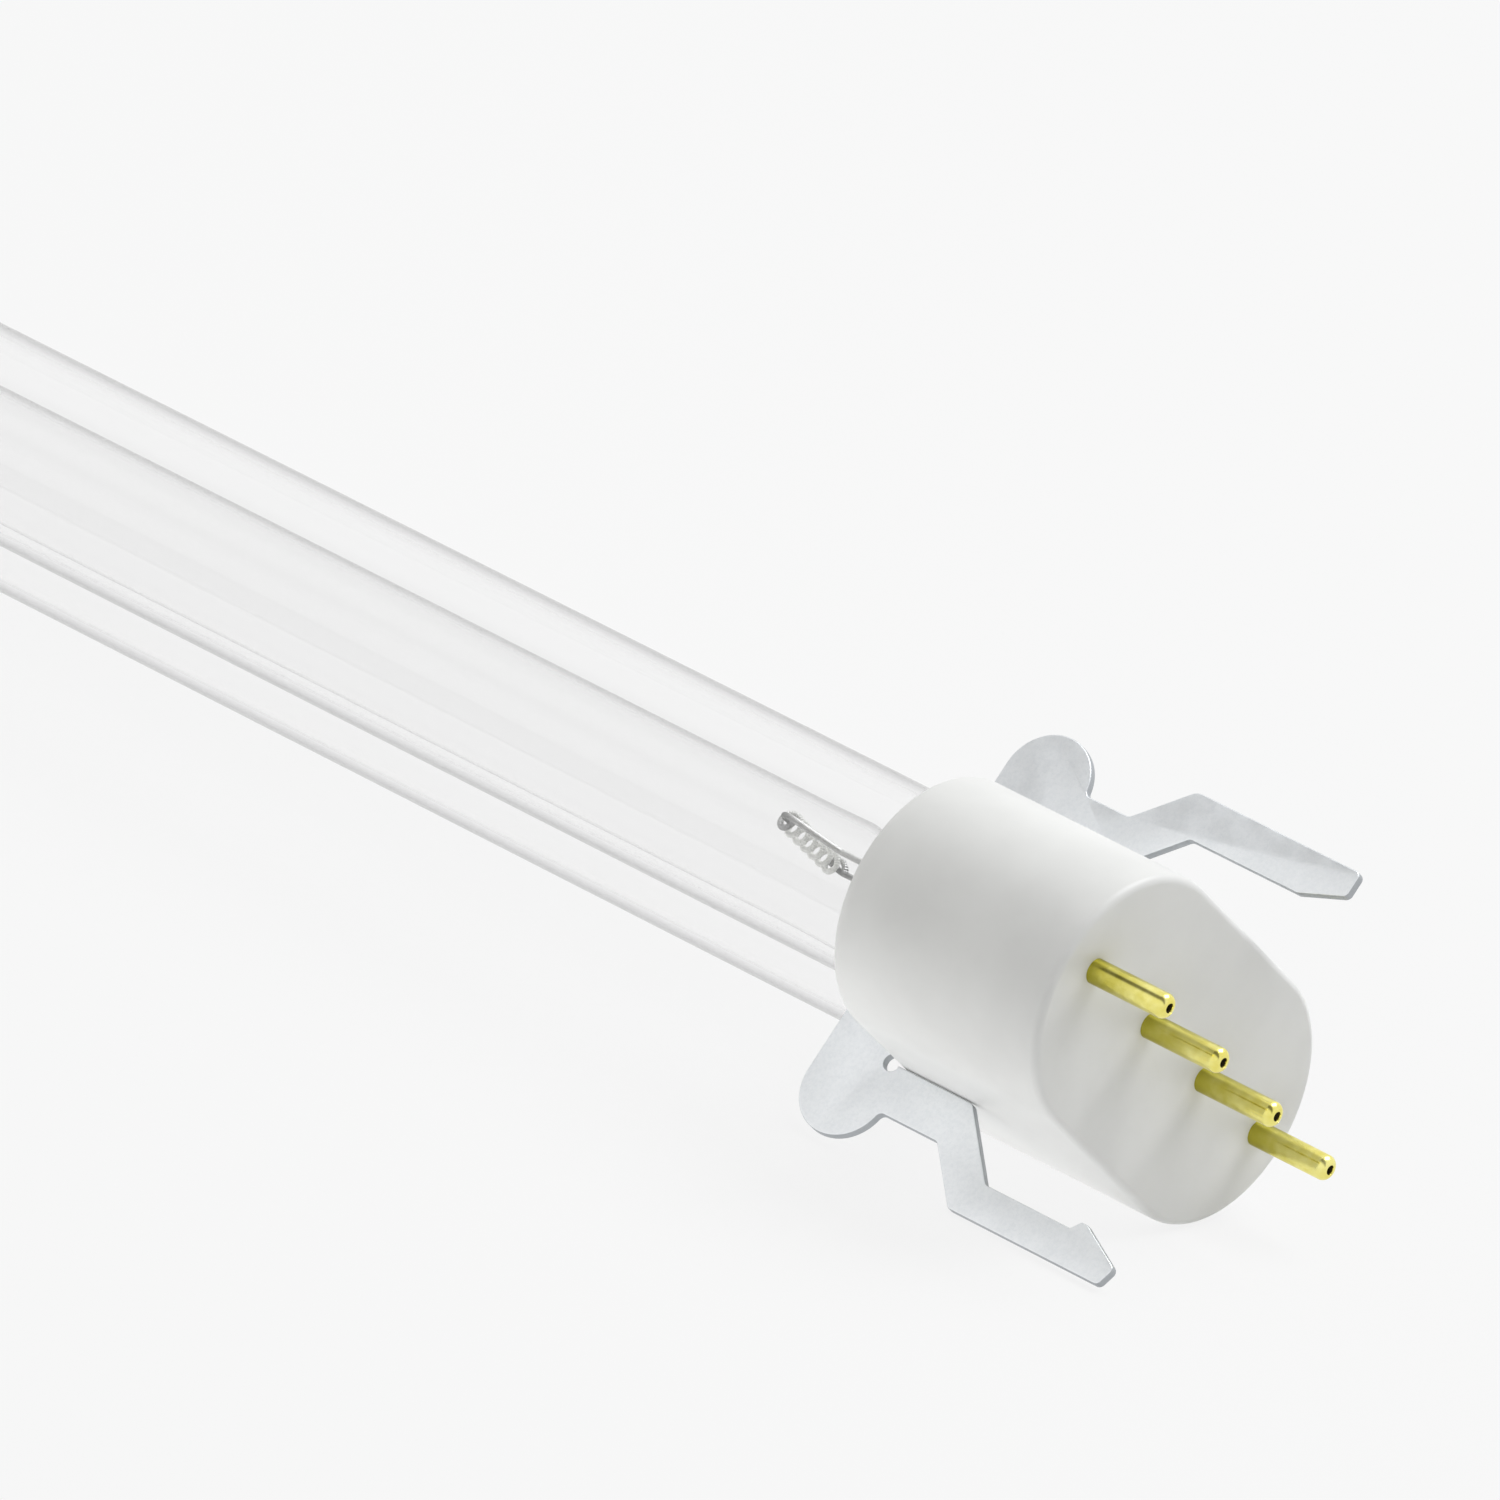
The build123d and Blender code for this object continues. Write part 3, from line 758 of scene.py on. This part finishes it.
def light_room():
    """Pale studio. The world's own light is even and slightly warm, and weaker before the cap's face.
    Rays from the camera and through glass see the background. Gloss sees it too, apart from a long
    gap between the diffusers that runs along the lamp and makes the dark bands on its tubes and
    pins. A direction's place in the gap is its angle round the lamp's axis, from the side that the
    camera sees towards the top."""
    world = bpy.data.worlds.new("studio")
    bpy.context.scene.world = world
    world.use_nodes = True
    tree = world.node_tree
    direction = node(tree, "ShaderNodeTexCoord").outputs["Generated"]
    upwards, sideways = share_along(tree, direction, lamp_up), share_along(tree, direction, -pin_row)
    angle = maths(tree, "ARCTAN2", upwards, sideways)
    away = maths(tree, "ABSOLUTE", maths(tree, "SUBTRACT", angle, GAP_CENTRE))
    gap = spread(tree, away, GAP_HALF, GAP_REACH, 1 - DARK_GAP, 1)
    front = share_along(tree, direction, lamp_axis)
    even = spread(tree, front, 0, 1, AMBIENT, AMBIENT * (1 - FRONT_SHADE))
    white = (1, 1, 1, 1)
    kinds = {
        "ambient": {"Color": AMBIENT_COLOUR, "Strength": even},
        "seen": {"Color": white, "Strength": BACKGROUND},
        "mirrored": {"Color": white, "Strength": gap},
    }
    light = {name: node(tree, "ShaderNodeBackground", inputs) for name, inputs in kinds.items()}
    path = node(tree, "ShaderNodeLightPath").outputs
    straight = maths(tree, "MAXIMUM", path["Is Camera Ray"], path["Is Transmission Ray"])
    mixed = light["ambient"]
    for share, name in ((path["Is Glossy Ray"], "mirrored"), (straight, "seen")):
        both = node(tree, "ShaderNodeMixShader", {0: share})
        tree.links.new(mixed.outputs[0], both.inputs[1])
        tree.links.new(light[name].outputs[0], both.inputs[2])
        mixed = both
    tree.links.new(mixed.outputs[0], tree.nodes["World Output"].inputs["Surface"])


KEY_DIRECTION = (0.15, -0.20, 1.0)  # in the lamp's frame
KEY_DISTANCE, KEY_SIZE = 1.2, 0.8  # m
KEY_POWER, KEY_COLOUR = 11.3, (0.97, 0.985, 1)
CARD_SIZE = (0.24, 0.065)  # m
CARD_PLACE = (-0.018, -0.014, 0.0003)  # m
CARD_POWER = 0.0245


def add_key():
    """A square softbox above the lamp that faces the cap."""
    data = bpy.data.lights.new("key_above", "AREA")
    data.shape = "SQUARE"
    data.size = KEY_SIZE
    data.energy = KEY_POWER
    data.color = KEY_COLOUR
    key = bpy.data.objects.new("key_above", data)
    back = toward(KEY_DIRECTION)
    key.location = Vector(face_centre + back * KEY_DISTANCE)
    key.rotation_euler = Vector(back).to_track_quat("Z", "Y").to_euler()
    bpy.context.collection.objects.link(key)


def add_low_card():
    """A flat lamp that lies on the floor below the cap and faces up, like a light table. It reaches
    the undersides only: neither the camera nor gloss nor glass shows it."""
    data = bpy.data.lights.new("low_card", "AREA")
    data.shape = "RECTANGLE"
    data.size, data.size_y = CARD_SIZE
    data.energy = CARD_POWER
    card = bpy.data.objects.new("low_card", data)
    card.location = CARD_PLACE
    card.rotation_euler = (np.pi, 0, 0)
    card.visible_camera = card.visible_glossy = card.visible_transmission = False
    bpy.context.collection.objects.link(card)


FLOOR_SIDE = 6.0  # m
FLOOR_COLOUR = (0.90, 0.90, 0.90, 1)
FLOOR_GLOW = 0.91  # share of the floor's colour that shadows don't touch
FLOOR_LIGHT = 0.934  # linear value of that share


def lay_floor():
    """A pale floor that keeps a faint soft shadow. To the camera, and through glass and gloss, most
    of its colour is the background's own, and to all other rays it is a plain pale surface."""
    half = FLOOR_SIDE / 2
    corners = [(-half, -half, 0), (half, -half, 0), (half, half, 0), (-half, half, 0)]
    mesh = bpy.data.meshes.new("floor")
    mesh.from_pydata(corners, [], [(0, 1, 2, 3)])
    floor = bpy.data.objects.new("floor", mesh)
    bpy.context.collection.objects.link(floor)
    material, tree, shader = new_material("pale_floor")
    tree.nodes.remove(shader)
    plain = node(tree, "ShaderNodeBsdfDiffuse", {"Color": FLOOR_COLOUR})
    glow = node(tree, "ShaderNodeEmission", {"Color": (1, 1, 1, 1), "Strength": FLOOR_LIGHT})
    path = node(tree, "ShaderNodeLightPath").outputs
    seen = maths(tree, "MAXIMUM", path["Is Camera Ray"], path["Is Glossy Ray"])
    seen = maths(tree, "MAXIMUM", seen, path["Is Transmission Ray"])
    both = node(tree, "ShaderNodeMixShader", {0: maths(tree, "MULTIPLY", seen, FLOOR_GLOW)})
    tree.links.new(plain.outputs["BSDF"], both.inputs[1])
    tree.links.new(glow.outputs["Emission"], both.inputs[2])
    tree.links.new(both.outputs["Shader"], tree.nodes["Material Output"].inputs["Surface"])
    mesh.materials.append(material)


def dress(names, material):
    """Gives CAD nodes their finish."""
    for name in names:
        data = frame["nodes"][name].data
        data.materials.clear()
        data.materials.append(material)


bpy.context.scene.view_settings.view_transform = "Standard"
add_camera()
light_room()
lay_floor()
add_key()
add_low_card()

# The numbers are the colours of the painted edge shade, outside the wall and in the bore.
add_glass(quartz_glass("quartz_outside", 0.34), quartz_glass("quartz_bore", 0.96))
cap_material = white_cap()
add_cap(cap_material)
dress(["cap_collar"], cap_material)
# Painted shade in the pins' bores: a near-black finish on their faces.
bore_painted_shade = drawn_wire("pin_bore_painted_shade", (0.05, 0.04, 0.02), (0.12, 0.10, 0.05), 0.6)
add_pins(gold_pin(), bore_painted_shade)
add_clip(zinc_sheet())
tungsten = coated_tungsten()
for leg, side in (("near", -1), ("far", 1)):
    add_coil(leg, side, tungsten)
dress([f"support_wire_{number}" for number in range(1, 5)], mount_wire())
copper = drawn_wire("lead_copper", (0.16, 0.10, 0.07), (0.30, 0.18, 0.12), 0.55)
dress([f"lead_wire_{number}" for number in range(1, 5)], copper)
dress(["capping_cement"], chalky_cement())
dress(["mercury_drop"], liquid_mercury())
